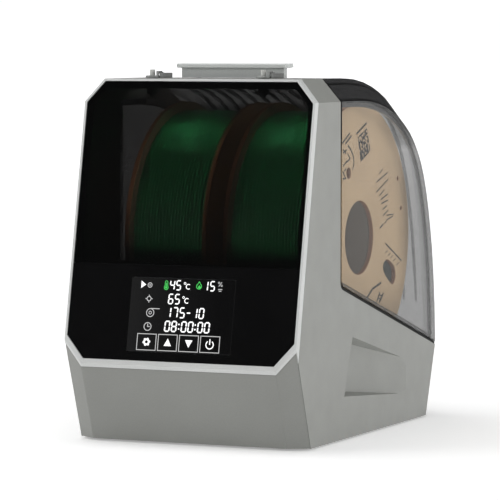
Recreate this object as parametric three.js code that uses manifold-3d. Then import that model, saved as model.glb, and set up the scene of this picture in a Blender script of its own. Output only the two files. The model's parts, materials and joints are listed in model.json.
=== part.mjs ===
// Two-spool filament dryer box. Millimetres, +Z up, front faces -Y.
import * as THREE from 'three';
import { ConvexGeometry } from 'three/addons/geometries/ConvexGeometry.js';
import { mergeVertices } from 'three/addons/utils/BufferGeometryUtils.js';
import Module from 'manifold-3d';

// ---- driving dimensions ----
const HALF_W = 91;            // half width of the case
const TOP_Z = 260.4;          // flat roof above the case bottom
const FRONT_FOOT_Z = 56.8;    // where the sloping face starts
const FRONT_TOP_Y = 40.1;     // how far the face leans back at the roof
const CHAMF_X = 14.5;         // corner chamfer, across
const CHAMF_N = 16.5;         // corner chamfer, along the skin normal
const WALL = 3;               // case wall
const LID_WALL = 2.4;         // lid wall
const FOOT_H = 1.5;           // feet below the case
const ARCH_REAR_Y = 85;       // rear edge of the front arch
const SEAM_SLOPE = -0.297;    // lid seam falls to the rear
const SEAM_Z0 = 111.1;        // seam height at the arch
const WINDOW_S = 72.4;        // window lower edge, up the face
const SPOOL_R = 100, SPOOL_Y = 163.6, SPOOL_Z = 141.4, SPOOL_X = 39.5;
const HUB_R = 27.5, WIND_R = 93.5, CORE_R = 40, FLANGE_T = 3.5, SPOOL_HALF = 33;
const ROLL_R = 9, SHAFT_R = 2, ROLL_DY = 51.2;
const HINGE_Y = 294.9, HINGE_Z = 51.0;
const TUBE_X = 44, TUBE_Y = 52.5;
const DEPTH_MID = 149.15;     // half of the overall depth, with hinge knuckles
const GAP = 0.3;

const wasm = await Module();
wasm.setup();

const group = new THREE.Group();
const model = new THREE.Group();
model.position.set(0, -DEPTH_MID, FOOT_H);
group.add(model);

// ---- solids ----
function solid(geo) {
  let g = geo.index ? geo.toNonIndexed() : geo.clone();
  for (const k of Object.keys(g.attributes)) if (k !== 'position') g.deleteAttribute(k);
  g = mergeVertices(g, 1e-4);
  const idx = Array.from(g.index.array), tri = [];
  for (let i = 0; i < idx.length; i += 3) {
    const [a, b, c] = [idx[i], idx[i + 1], idx[i + 2]];
    if (a !== b && b !== c && a !== c) tri.push(a, b, c);
  }
  const make = (t) => new wasm.Manifold(new wasm.Mesh({
    numProp: 3, vertProperties: new Float32Array(g.attributes.position.array), triVerts: new Uint32Array(t) }));
  let m = make(tri);
  if (m.volume() < 0) {
    for (let i = 0; i < tri.length; i += 3) [tri[i], tri[i + 1]] = [tri[i + 1], tri[i]];
    m = make(tri);
  }
  return m;
}
function shapeOf(pts, holes = []) {
  const s = new THREE.Shape(pts.map(([u, v]) => new THREE.Vector2(u, v)));
  for (const h of holes) s.holes.push(new THREE.Path(h.map(([u, v]) => new THREE.Vector2(u, v))));
  return s;
}
function extrude(shape, d) {
  return new THREE.ExtrudeGeometry(shape, { depth: d, bevelEnabled: false, steps: 1, curveSegments: 12 });
}
// (y, z) outline pulled along X
function prismX(pts, x0, x1, holes = []) {
  const g = extrude(shapeOf(pts, holes), x1 - x0);
  g.applyMatrix4(new THREE.Matrix4().set(0, 0, 1, x0, 1, 0, 0, 0, 0, 1, 0, 0, 0, 0, 0, 1));
  return solid(g);
}
// (x, y) outline pulled up Z
function prismZ(pts, z0, z1, holes = []) {
  const g = extrude(shapeOf(pts, holes), z1 - z0);
  g.translate(0, 0, z0);
  return solid(g);
}
function box(x0, x1, y0, y1, z0, z1) {
  const g = new THREE.BoxGeometry(x1 - x0, y1 - y0, z1 - z0);
  g.translate((x0 + x1) / 2, (y0 + y1) / 2, (z0 + z1) / 2);
  return solid(g);
}
// closed (radius, height) loop turned about an axis
function ring(pts, axis, cx, cy, cz, seg) {
  const loop = pts.concat([pts[0]]).map(([r, h]) => new THREE.Vector2(r, h));
  const g = new THREE.LatheGeometry(loop, seg);
  if (axis === 'x') g.rotateZ(-Math.PI / 2);
  if (axis === 'z') g.rotateX(Math.PI / 2);
  g.translate(cx, cy, cz);
  return solid(g);
}
// solid of revolution whose outline starts and ends on the axis
function turned(pts, axis, cx, cy, cz, seg) {
  const g = new THREE.LatheGeometry(pts.map(([r, h]) => new THREE.Vector2(r, h)), seg);
  if (axis === 'x') g.rotateZ(-Math.PI / 2);
  if (axis === 'z') g.rotateX(Math.PI / 2);
  g.translate(cx, cy, cz);
  return solid(g);
}
function rod(axis, r, cx, cy, cz, len, seg) {
  const g = new THREE.CylinderGeometry(r, r, len, seg);
  if (axis === 'x') g.rotateZ(-Math.PI / 2);
  if (axis === 'z') g.rotateX(Math.PI / 2);
  g.translate(cx, cy, cz);
  return solid(g);
}
function hull(pts) {
  return solid(new ConvexGeometry(pts.map((p) => new THREE.Vector3(p[0], p[1], p[2]))));
}

// ---- sloping face frame: x across, s up the face, w inward ----
const FACE_L = Math.hypot(FRONT_TOP_Y, TOP_Z - FRONT_FOOT_Z);
const SA = FRONT_TOP_Y / FACE_L, CA = (TOP_Z - FRONT_FOOT_Z) / FACE_L;
const faceMat = (w1) => new THREE.Matrix4().set(
  1, 0, 0, 0,
  0, SA, -CA, w1 * CA,
  0, CA, SA, FRONT_FOOT_Z - w1 * SA,
  0, 0, 0, 1);
function face(pts, w0, w1, holes = []) {
  const g = extrude(shapeOf(pts, holes), w1 - w0);
  g.applyMatrix4(faceMat(w1));
  return solid(g);
}
const rect = (x0, x1, y0, y1) => [[x0, y0], [x1, y0], [x1, y1], [x0, y1]];
function rrect(x0, x1, y0, y1, r, n = 4) {
  const out = [];
  const c = [[x1 - r, y0 + r, -90], [x1 - r, y1 - r, 0], [x0 + r, y1 - r, 90], [x0 + r, y0 + r, 180]];
  for (const [cx, cy, a0] of c) for (let i = 0; i <= n; i++) {
    const a = (a0 + 90 * i / n) * Math.PI / 180;
    out.push([cx + r * Math.cos(a), cy + r * Math.sin(a)]);
  }
  return out;
}
function clip(poly, nu, nv, c) {
  const out = [];
  for (let i = 0; i < poly.length; i++) {
    const p = poly[i], q = poly[(i + 1) % poly.length];
    const fp = nu * p[0] + nv * p[1] - c, fq = nu * q[0] + nv * q[1] - c;
    if (fp <= 0) out.push(p);
    if ((fp < 0 && fq > 0) || (fp > 0 && fq < 0)) {
      const t = fp / (fp - fq);
      out.push([p[0] + (q[0] - p[0]) * t, p[1] + (q[1] - p[1]) * t]);
    }
  }
  return out;
}
function edgeClip(poly, a, b, inset) {
  const du = b[0] - a[0], dv = b[1] - a[1], l = Math.hypot(du, dv);
  const nu = -dv / l, nv = du / l;
  return clip(poly, nu, nv, nu * a[0] + nv * a[1] - inset);
}
// eight-sided face outline, inset e on the sides and corners
function octagon(e, et = e, eb = e) {
  let p = rect(-HALF_W - 5, HALF_W + 5, -5, FACE_L + 5);
  p = clip(p, 1, 0, HALF_W - e); p = clip(p, -1, 0, HALF_W - e);
  p = clip(p, 0, 1, FACE_L - et); p = clip(p, 0, -1, -eb);
  const m = Math.hypot(CHAMF_X, 16.6);
  for (const sx of [1, -1]) {
    const nu = 16.6 / m, nv = CHAMF_X / m;
    p = clip(p, sx * nu, nv, nu * HALF_W + nv * (FACE_L - 16.6) - Math.max(e, et));
    p = clip(p, sx * nu, -nv, nu * HALF_W - nv * 16.6 - Math.max(e, eb));
  }
  return p;
}

// ---- outer skin ----
const CURVE = [[FRONT_TOP_Y, TOP_Z], [117, TOP_Z], [130, 260.0], [143, 259.3], [161, 257], [178, 253.4],
  [191.5, 249.4], [205, 244.4], [217, 238.5], [228.5, 231.7], [238.5, 223.8], [247.5, 215], [256, 204.5],
  [263, 192.5], [269, 179], [274, 164.5], [278.6, 148], [282.6, 131], [286.2, 108], [288.6, 86],
  [290, 62], [290.4, 52], [271.8, 0]];
const LOWF_C = [[20.2, 0], [0, FRONT_FOOT_Z]];
const LOWF_S = [[29.2, 0], [3.2, 73.1]];
function sideOutline(skin, front, low, bottom, lowEdge) {
  let p = rect(-60, 400, -60, 400);
  p = edgeClip(p, lowEdge[0], lowEdge[1], low);
  p = edgeClip(p, [0, FRONT_FOOT_Z], CURVE[0], front);
  for (let i = 0; i + 1 < CURVE.length; i++) p = edgeClip(p, CURVE[i], CURVE[i + 1], skin);
  return clip(p, 0, -1, -bottom);
}
function skin(d, bottom = 0, front = d) {
  const xs = HALF_W - d, xc = HALF_W - CHAMF_X - 0.4545 * d;
  const c = sideOutline(d, front, d, bottom, LOWF_C);
  const s = sideOutline(CHAMF_N + 0.375 * d, front, 0.62 * d, bottom, LOWF_S);
  const pts = [];
  for (const sx of [-1, 1]) {
    for (const [y, z] of c) pts.push([sx * xc, y, z]);
    for (const [y, z] of s) pts.push([sx * xs, y, z]);
  }
  return hull(pts);
}
const seam = (y) => SEAM_Z0 + SEAM_SLOPE * (y - ARCH_REAR_Y);
// everything behind the arch and above the seam, grown downward and forward by g
function lidZone(g, x0 = -120, x1 = 120, r = 6) {
  const y0 = ARCH_REAR_Y - g, c = g * Math.hypot(1, SEAM_SLOPE);
  const p = [[y0, 320]];
  const cy = y0 + r, cz = seam(cy) - c + r * Math.hypot(1, SEAM_SLOPE);
  const a1 = 270 + Math.atan(SEAM_SLOPE) * 180 / Math.PI;
  for (let i = 0; i <= 4; i++) {
    const a = (180 + (a1 - 180) * i / 4) * Math.PI / 180;
    p.push([cy + r * Math.cos(a), cz + r * Math.sin(a)]);
  }
  p.push([330, seam(330) - c], [330, 320]);
  return prismX(p, x0, x1);
}
const faceSlab = (w0, w1) => face(rect(-110, 110, -80, 260), w0, w1);

const outer = skin(0);
const inner = skin(WALL, -10, -40);
const bezelBack = 6.0;
const frontCut = faceSlab(-60, bezelBack + GAP);
// plane between the lower cover and the sides
const coverZone = (g) => prismX([[LOWF_S[0][0] - g + 10.68, -30], [LOWF_S[0][0] - g, 0], [LOWF_S[1][0] - g, 73.1],
  [LOWF_S[1][0] - g - 20, 130], [-60, 130], [-60, -30]], -120, 120);

// ---- hand grips in the sides ----
const GRIP = [[106, 73.5], [216, 46.7], [216, 20.4], [90.5, 30.2]];
function grip(sx, grow) {
  const o = HALF_W + 1.5;
  const f = HALF_W - 9 - grow;
  const p = [
    [o, GRIP[0][0] - grow, GRIP[0][1] + grow], [o, GRIP[1][0] + grow, GRIP[1][1] + grow],
    [o, GRIP[2][0] + grow, GRIP[2][1] - grow], [o, GRIP[3][0] - grow, GRIP[3][1] - grow],
    [f, GRIP[0][0] + 2.5 - grow, GRIP[0][1] - 5 + grow], [f, GRIP[3][0] + 2.5 - grow, GRIP[3][1] + 4 - grow],
    [HALF_W - 0.2 - grow, 212 + grow, 42.5 + grow], [HALF_W - 0.2 - grow, 212 + grow, 24.5 - grow]];
  return hull(p.map(([x, y, z]) => [sx * x, y, z]));
}

// ---- case ----
const bodyZone = outer.subtract(lidZone(1.9)).subtract(frontCut).subtract(coverZone(-GAP));
let body = bodyZone.subtract(inner);
for (const sx of [-1, 1]) {
  body = body.add(grip(sx, 2.4).intersect(skin(1.5, 3)).intersect(box(-HALF_W + 0.8, HALF_W - 0.8, 60, 240, 5, 95)));
  body = body.subtract(grip(sx, 0));
}
// outlet holes in the arch roof
for (const sx of [-1, 1]) body = body.subtract(rod('z', 4.2, sx * TUBE_X, TUBE_Y, 258, 14, 20));
// rear wall frame: x across, v up the wall, outward
const RL = Math.hypot(290.4 - 271.8, 52), RSY = (290.4 - 271.8) / RL, RCZ = 52 / RL;
function rearPlate(pts, d0, d1, holes = []) {
  const g = extrude(shapeOf(pts.map(([u, v]) => [-u, v]), holes.map((h) => h.map(([u, v]) => [-u, v]))), d1 - d0);
  g.applyMatrix4(new THREE.Matrix4().set(
    -1, 0, 0, 0,
    0, RSY, RCZ, 271.8 + d0 * RCZ,
    0, RCZ, -RSY, -d0 * RSY,
    0, 0, 0, 1));
  return solid(g);
}
const INLET_X = 46, INLET_V = 24;
body = body.subtract(rearPlate(rrect(INLET_X - 13.3, INLET_X + 13.3, INLET_V - 8.3, INLET_V + 8.3, 2), -12, 6));
// hinge knuckles on the case
const HINGE_X = [-46, 46];
for (const hx of HINGE_X) for (const k of [-1, 1]) {
  const x0 = hx + (k < 0 ? -12 : 5), x1 = x0 + 7;
  let kn = ring([[1.85, -3.5], [3.4, -3.5], [3.4, 3.5], [1.85, 3.5]], 'x', (x0 + x1) / 2, HINGE_Y, HINGE_Z, 14);
  const web = prismX([[285.8, 40], [289.5, 40], [HINGE_Y + 2.9, HINGE_Z - 2.0], [HINGE_Y - 2.9, HINGE_Z - 2.2], [286.0, 46.5]], x0, x1)
    .subtract(rod('x', 2.4, (x0 + x1) / 2, HINGE_Y, HINGE_Z, 20, 14));
  body = body.add(kn.add(web));
}

// ---- lower front cover ----
const cover = outer.subtract(inner).subtract(faceSlab(-60, 1.7)).intersect(coverZone(0))
  .subtract(box(-120, 120, 60, 320, -20, 300));

// ---- face: bezel, window, control panel ----
const bezel = outer.intersect(faceSlab(-2, bezelBack))
  .subtract(outer.subtract(skin(WALL + GAP, -10, -40)).intersect(coverZone(-GAP)).intersect(faceSlab(1.4, 30)))
  .subtract(face(octagon(1.7, 1.7, 3.4), -5, 3.4))
  .subtract(face(octagon(6.2, 6.2, 7.6), 3, 12));
const windowPts = clip(octagon(2.0, 2.0, 3.7), 0, -1, -(WINDOW_S + 0.15));
const panelPts = clip(octagon(2.0, 2.0, 3.7), 0, 1, WINDOW_S - 0.15);
const frontWindow = face(windowPts, 0.3, 3.1);
const DISP = [-41.3, 41.1, 10, 63.5];
const controlPanel = face(panelPts, 0.3, 3.1).subtract(face(rrect(DISP[0], DISP[1], DISP[2], DISP[3], 1.2), -1, 5));
const displayGlass = face(rrect(DISP[0] + GAP, DISP[1] - GAP, DISP[2] + GAP, DISP[3] - GAP, 0.9), 0.3, 1.9);
const displayModule = face(rect(-43.5, 43.5, 8.2, 66), 3.5, 5.4).add(face(rect(-38, 38, 12, 61), 2.3, 4.5))
  .add(face(rect(-30, 30, 15, 58), 5.2, 9));
const controlBoard = face(rect(-46, 46, 9, 64), 12, 13.6)
  .add(face(rect(-34, -16, 22, 40), 13.4, 16.4)).add(face(rect(8, 38, 16, 26), 13.4, 19.5))
  .add(face(rect(10, 18, 42, 50), 13.4, 18)).add(face(rect(-40, -36, 50, 58), 13.4, 20));

// ---- arch liner ----
let liner = skin(WALL + GAP, 100, -40).subtract(skin(WALL + GAP + 2, 90, -60))
  .intersect(prismX([[0, 112], [ARCH_REAR_Y - 2, 112], [ARCH_REAR_Y - 2, 300], [0, 300]], -120, 120))
  .subtract(faceSlab(-60, bezelBack + GAP));
for (const sx of [-1, 1]) {
  liner = liner.subtract(rod('z', 4.6, sx * TUBE_X, TUBE_Y, 255, 14, 20));
  for (const z of [156, 182, 208, 233]) {
    const a = sx > 0 ? 84.6 : -86.6, b = sx > 0 ? 86.6 : -84.6;
    liner = liner.add(box(a, b, ARCH_REAR_Y - 4.5, ARCH_REAR_Y - 0.6, z - 2, z + 2));
  }
}

// ---- chamber tub ----
const TX = 78.8, TT = 2;
let tub = prismX([[18.4, 124], [54, 124], [54, 28], [264, 28], [264, 54], [262, 54], [262, 30], [56, 30], [56, 126], [18, 126]], -TX, TX);
const tubSide = [[54, 28], [264, 28], [264, 55], [88, 107.3], [80, 126], [54, 126]];
for (const sx of [-1, 1]) {
  const a = sx > 0 ? TX - TT : -TX, b = sx > 0 ? TX : -TX + TT;
  tub = tub.add(prismX(tubSide, a, b));
  const fa = sx > 0 ? TX - TT : -85.2, fb = sx > 0 ? 85.2 : -TX + TT;
  tub = tub.add(prismX([[54, 126], [80, 126], [88, 107.3], [264, 55], [264, 52.9], [86.6, 105.5], [78.6, 124], [54, 124]], fa, fb));
  for (const dy of [-ROLL_DY, ROLL_DY]) {
    tub = tub.add(ring([[SHAFT_R + 0.4, -1.6], [6, -1.6], [6, 1.6], [SHAFT_R + 0.4, 1.6]], 'x', sx * (TX - TT - 1.5), SPOOL_Y + dy, 45.15, 12));
  }
}
const SCREWS = [[-68, 72], [68, 72], [-68, 240], [68, 240]];
for (const [x, y] of SCREWS) tub = tub.add(ring([[1.6, 7.5], [4.2, 7.5], [4.2, 28.6], [1.6, 28.6]], 'z', x, y, 0, 12));
tub = tub.subtract(box(-40, 40, 130, 200, 25, 33));
const heaterGrille = (() => {
  let g = box(-39.7, 39.7, 130.3, 199.7, 28.3, 30);
  for (let i = 0; i < 8; i++) g = g.subtract(box(-36, 36, 134.5 + i * 8, 138.5 + i * 8, 20, 40));
  return g;
})();

// ---- rollers ----
const shafts = {}, rollers = {};
for (const [name, dy] of [['front', -ROLL_DY], ['rear', ROLL_DY]]) {
  shafts[name] = rod('x', SHAFT_R, 0, SPOOL_Y + dy, 45.15, 2 * (TX - TT - 0.4), 12);
  for (const [side, sx] of [['left', -1], ['right', 1]]) {
    const b = ROLL_R, m = 7.4, bore = SHAFT_R + 0.4;
    rollers[`${side}_${name}`] = ring([[bore, -34], [b, -34], [b, -27.5], [m, -26.5], [m, 26.5], [b, 27.5], [b, 34], [bore, 34]],
      'x', sx * SPOOL_X, SPOOL_Y + dy, 45.15, 20);
  }
}

// ---- spools ----
function flange(cx) {
  let f = ring([[HUB_R, -FLANGE_T / 2], [SPOOL_R, -FLANGE_T / 2], [SPOOL_R, FLANGE_T / 2], [HUB_R, FLANGE_T / 2]], 'x', cx, SPOOL_Y, SPOOL_Z, 56);
  const slot = [[210, 117.5], [217.2, 122.2], [225.6, 120.4], [236.1, 114.6], [237.2, 105.9], [230.9, 101.3], [223.8, 104.7], [213.4, 111.5]];
  f = f.subtract(prismX(slot, cx - 5, cx + 5));
  for (const [y, z, r] of [[143.1, 190.2, 4.2], [240.7, 182.5, 1.8], [247.8, 159.5, 1.8]]) f = f.subtract(rod('x', r, cx, y, z, 10, 8));
  return f;
}
const core = (cx) => ring([[HUB_R, -29.2], [CORE_R, -29.2], [CORE_R, 29.2], [HUB_R, 29.2]], 'x', cx, SPOOL_Y, SPOOL_Z, 36);
const winding = (cx) => ring([[CORE_R + GAP, -29.2], [WIND_R, -29.2], [WIND_R, 29.2], [CORE_R + GAP, 29.2]], 'x', cx, SPOOL_Y, SPOOL_Z, 48);

// ---- lid ----
const lidIn = skin(LID_WALL, -60, -60);
let lid = outer.intersect(lidZone(-0.4)).subtract(lidIn);
const sideCurve = sideOutline(CHAMF_N, -40, -40, 0, LOWF_S);
const winZone = (inset, x0, x1) => prismX(sideOutline(CHAMF_N + inset, -60, -60, 0, LOWF_S), x0, x1)
  .intersect(lidZone(-0.4 - inset, x0 - 1, x1 + 1, Math.max(6 - inset, 1)));
for (const sx of [-1, 1]) {
  const wx = (a, b) => (sx > 0 ? [a, b] : [-b, -a]);
  // lip that carries the side window, behind its edge
  const [l0, l1] = wx(HALF_W - LID_WALL - 2.2, HALF_W - LID_WALL - GAP);
  lid = lid.subtract(winZone(0.35, ...wx(HALF_W - LID_WALL - GAP, HALF_W + 5)));
  lid = lid.add(winZone(-0.6, l0, l1).intersect(outer).intersect(lidZone(-0.4)).subtract(winZone(4.2, l0 - 1, l1 + 1)).intersect(skin(0.3, -60, -60)));
}
// lid knuckles
for (const hx of HINGE_X) {
  const kn = ring([[1.85, -4.7], [3.4, -4.7], [3.4, 4.7], [1.85, 4.7]], 'x', hx, HINGE_Y, HINGE_Z, 14);
  const web = prismX([[HINGE_Y - 3.1, HINGE_Z + 1.4], [HINGE_Y + 1.5, HINGE_Z + 3.0], [290.4, 64], [288.2, 64], [288.2, HINGE_Z + 2.2]], hx - 4.7, hx + 4.7)
    .subtract(rod('x', 2.4, hx, HINGE_Y, HINGE_Z, 20, 14));
  lid = lid.add(kn.add(web));
}
// handle screw holes
const HSCREW = [[-28, 98.4], [28, 98.4]];
for (const [x, y] of HSCREW) lid = lid.subtract(rod('z', 1.9, x, y, 258, 14, 12));
const sideWindow = (sx) => {
  const r = sx > 0 ? [HALF_W - LID_WALL, HALF_W] : [-HALF_W, -HALF_W + LID_WALL];
  return winZone(0.65, ...r);
};
// gasket between lid and case
const gasket = skin(0.5, 0, 0).subtract(skin(2.2, -60, -60)).intersect(lidZone(1.55)).subtract(lidZone(-0.05));
// handle
let handle = prismX([[95.6, TOP_Z + 0.3], [101.4, TOP_Z + 0.3], [101.4, 267.9], [107, 268.4], [107, 270.4], [106.4, 271], [93.0, 271], [92.4, 270.4], [92.4, 268.0], [95.6, 267.6]], -43.6, 43.6)
  .subtract(box(-60, -41, 80, 120, 250, 267.8)).subtract(box(41, 60, 80, 120, 250, 267.8));
for (const [x, y] of HSCREW) handle = handle.subtract(rod('z', 1.5, x, y, 262, 9, 12));
const handleScrew = (x, y) => turned([[0, 254.4], [2.6, 254.4], [3.0, 254.9], [3.0, 257.1], [1.2, 257.1], [1.2, 265.6], [0, 265.6]], 'z', x, y, 0, 12);

// ---- outlets ----
const collar = (x) => {
  let c = ring([[2.35, 249], [3.9, 249], [3.9, TOP_Z + 0.3], [5, TOP_Z + 0.3], [5, 262.2], [4.6, 262.6], [2.35, 262.6]], 'z', x, TUBE_Y, 0, 18);
  for (const k of [-1, 1]) {
    const a = TUBE_Y + (k > 0 ? 2.25 : -3.4);
    c = c.add(box(x + 3.2, x + 6.3, a, a + 1.15, TOP_Z + 0.5, 262.4)).add(box(x + 4.65, x + 6.3, a, a + 1.15, 261, 265.9));
  }
  return c;
};
const tube = (x) => ring([[1.05, 247.5], [2.0, 247.5], [2.0, 266.9], [1.05, 266.9]], 'z', x, TUBE_Y, 0, 14);
const CAP_Z = 264.9;
const cap = (x) => {
  let c = turned([[0, 261.0], [4.3, 261.0], [4.75, 261.5], [4.75, 264.6], [2.6, 264.6], [2.6, 262.5], [0, 262.5]], 'z', x + 10.8, TUBE_Y, 0, 18);
  c = c.add(rod('z', 0.9, 0, 0, 0, 3.8, 12).rotate([90, 0, 0]).translate([x + 5.4, TUBE_Y, CAP_Z]));
  c = c.add(box(x + 5.4, x + 8.1, TUBE_Y - 1.5, TUBE_Y + 1.5, 263.4, 265.2).subtract(box(x + 5.4, x + 6.6, TUBE_Y - 2, TUBE_Y + 2, 260, 264.1)));
  return c;
};

// ---- base ----
let base = skin(WALL + GAP, GAP, WALL + 4).intersect(box(-120, 120, -10, 320, 0, 2.8));
for (const [x, y] of SCREWS) base = base.subtract(turned([[0, -1], [3.5, -1], [3.5, 1.2], [1.8, 2.0], [1.8, 5], [0, 5]], 'z', x, y, 0, 12));
for (let i = 0; i < 7; i++) base = base.subtract(box(-64, -20, 146 + i * 6, 149 + i * 6, -2, 6));
const FEET = [[-60, 56], [60, 56], [-60, 222], [60, 222]];
const foot = (x, y) => turned([[0, -FOOT_H], [8.2, -FOOT_H], [9, -FOOT_H + 0.6], [9, 0], [0, 0]], 'z', x, y, 0, 20);
const baseScrew = (x, y) => turned([[0, 0.35], [3.1, 0.35], [3.1, 1.0], [1.3, 2.3], [1.3, 16], [0, 17]], 'z', x, y, 0, 10);

// ---- air and power ----
const FAN = [-42, 167.5, 15];
let fanHousing = prismZ(rrect(-72, -12, 137.5, 197.5, 5), 5, 20).subtract(rod('z', 25.5, FAN[0], FAN[1], 14.6, 16, 32))
  .subtract(rod('z', 17, FAN[0], FAN[1], 6, 6, 24)).subtract(box(-22, -5, 145, 190, 7.5, 17.5));
fanHousing = fanHousing.add(rod('z', 17, FAN[0], FAN[1], 19.1, 1.8, 20)).add(box(-72, -12, 165, 170, 18.2, 20)).add(rod('z', 1.6, FAN[0], FAN[1], 14.5, 9, 10));
let impeller = ring([[2.0, 8.6], [7, 8.6], [7, 17.6], [2.0, 17.6]], 'z', FAN[0], FAN[1], 0, 16)
  .add(ring([[6.5, 16.6], [24, 16.6], [24, 17.8], [6.5, 17.8]], 'z', FAN[0], FAN[1], 0, 24));
for (let i = 0; i < 12; i++) {
  const b = box(17.5, 24, -0.55, 0.55, 8.2, 17).rotate([0, 0, i * 30]).translate([FAN[0], FAN[1], 0]);
  impeller = impeller.add(b);
}
let heater = box(-8, 38, 140, 190, 6, 20);
for (let i = 0; i < 9; i++) heater = heater.subtract(box(-20, 50, 142.5 + i * 5, 145.5 + i * 5, 8, 18));
const psu = box(20, 70, 206, 232, 5, 6.6).add(box(24, 42, 209, 226, 6.5, 22)).add(box(46, 54, 210, 218, 6.5, 18))
  .add(rod('z', 5, 61, 218, 13, 14, 20));
const sensor = prismX([[58, 92], [59.6, 92], [59.6, 112], [58, 112]], -8, 8).add(box(-3, 3, 59.4, 62.2, 99, 106));
const inlet = rearPlate(rrect(INLET_X - 15.5, INLET_X + 15.5, INLET_V - 10.5, INLET_V + 10.5, 3), 0.3, 2.2)
  .add(rearPlate(rrect(INLET_X - 13, INLET_X + 13, INLET_V - 8, INLET_V + 8, 1.8), -16, 1))
  .subtract(rearPlate(rrect(INLET_X - 9.2, INLET_X + 9.2, INLET_V - 4.6, INLET_V + 4.6, 4.4, 6), -12, 5));
const inletPin = (u) => {
  const g = new THREE.CylinderGeometry(1.2, 1.2, 9.6, 14);
  g.rotateX(Math.PI / 2);
  g.applyMatrix4(new THREE.Matrix4().set(
    -1, 0, 0, INLET_X + u,
    0, RSY, RCZ, 271.8 + INLET_V * RSY - 6.9 * RCZ,
    0, RCZ, -RSY, INLET_V * RCZ + 6.9 * RSY,
    0, 0, 0, 1));
  return solid(g);
};
const hingePin = (x) => rod('x', 1.5, x, HINGE_Y, HINGE_Z, 24.6, 12);

// ---- scene graph ----
function node(name, m, color, roughness, metalness = 0, extra = {}) {
  const mesh = m.getMesh();
  const g = new THREE.BufferGeometry();
  g.setAttribute('position', new THREE.BufferAttribute(new Float32Array(mesh.vertProperties), 3));
  g.setIndex(new THREE.BufferAttribute(new Uint32Array(mesh.triVerts), 1));
  const o = new THREE.Mesh(g, new THREE.MeshStandardMaterial({ color, roughness, metalness, ...extra }));
  o.name = name;
  model.add(o);
  return o;
}
const GREY = 0x9a9c98, BLACK = 0x0c0c0d, CARD = 0xa59178, GREEN = 0x0d3a22;
const SMOKE = { transparent: true, opacity: 0.45 };
node('body_shell', body, GREY, 0.45);
node('lower_front_cover', cover, GREY, 0.45);
node('front_bezel', bezel, 0xc9cac9, 0.4);
node('front_window', frontWindow, 0x0b0c0c, 0.06, 0, SMOKE);
node('control_panel', controlPanel, BLACK, 0.08);
node('display_glass', displayGlass, 0x050506, 0.05);
node('display_module', displayModule, 0x9fa3a6, 0.4, 0.7);
node('control_board', controlBoard, 0x14532d, 0.5);
node('arch_liner', liner, BLACK, 0.5);
node('chamber_tub', tub, 0x161616, 0.55);
node('heater_grille', heaterGrille, 0x8a8d8f, 0.35, 0.9);
node('humidity_sensor', sensor, 0x1f4f2f, 0.5);
node('fan_housing', fanHousing, BLACK, 0.5);
node('fan_impeller', impeller, 0x202022, 0.5);
node('ptc_heater', heater, 0xb4b6b8, 0.35, 0.9);
node('power_supply_board', psu, 0x3b5b33, 0.5);
node('mains_inlet', inlet, 0x111111, 0.45);
node('inlet_pin_left', inletPin(-4.3), 0xc8b88a, 0.3, 1);
node('inlet_pin_right', inletPin(4.3), 0xc8b88a, 0.3, 1);
node('base_plate', base, 0x2a2b2b, 0.55);
FEET.forEach(([x, y], i) => node(`foot_${['front_left', 'front_right', 'rear_left', 'rear_right'][i]}`, foot(x, y), 0x161616, 0.85));
SCREWS.forEach(([x, y], i) => node(`base_screw_${['front_left', 'front_right', 'rear_left', 'rear_right'][i]}`, baseScrew(x, y), 0x9c9ea0, 0.3, 1));
node('roller_shaft_front', shafts.front, 0xb8babc, 0.25, 1);
node('roller_shaft_rear', shafts.rear, 0xb8babc, 0.25, 1);
for (const k of ['left_front', 'left_rear', 'right_front', 'right_rear']) node(`roller_${k}`, rollers[k], 0x1b1b1c, 0.6);
for (const [side, sx] of [['left', -1], ['right', 1]]) {
  const c = sx * SPOOL_X, e = SPOOL_HALF - FLANGE_T / 2;
  node(`spool_${side}_flange_outer`, flange(c + sx * e), CARD, 0.85);
  node(`spool_${side}_flange_inner`, flange(c - sx * e), CARD, 0.85);
  node(`spool_${side}_core`, core(c), 0x8c8071, 0.9);
  node(`spool_${side}_filament`, winding(c), GREEN, 0.4);
  node(`outlet_collar_${side}`, collar(sx * TUBE_X), 0x8f9390, 0.35);
  node(`outlet_tube_${side}`, tube(sx * TUBE_X), 0xd8dad6, 0.35);
  node(`outlet_cap_${side}`, cap(sx * TUBE_X), 0x6e716e, 0.7);
  node(`lid_side_window_${side}`, sideWindow(sx), 0x9a9c9c, 0.08, 0, { transparent: true, opacity: 0.3 });
  node(`lid_hinge_pin_${side}`, hingePin(sx * 46), 0xb8babc, 0.25, 1);
}
node('lid_shell', lid, 0x141616, 0.1, 0, { transparent: true, opacity: 0.7 });
node('lid_gasket', gasket, 0x101010, 0.8);
node('lid_handle', handle, 0x9b9e9b, 0.4);
node('lid_handle_screw_left', handleScrew(...HSCREW[0]), 0x9c9ea0, 0.3, 1);
node('lid_handle_screw_right', handleScrew(...HSCREW[1]), 0x9c9ea0, 0.3, 1);

export default group;
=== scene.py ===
import json
import math
import random
import bpy
import bmesh
from mathutils import Vector, Matrix

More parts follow.
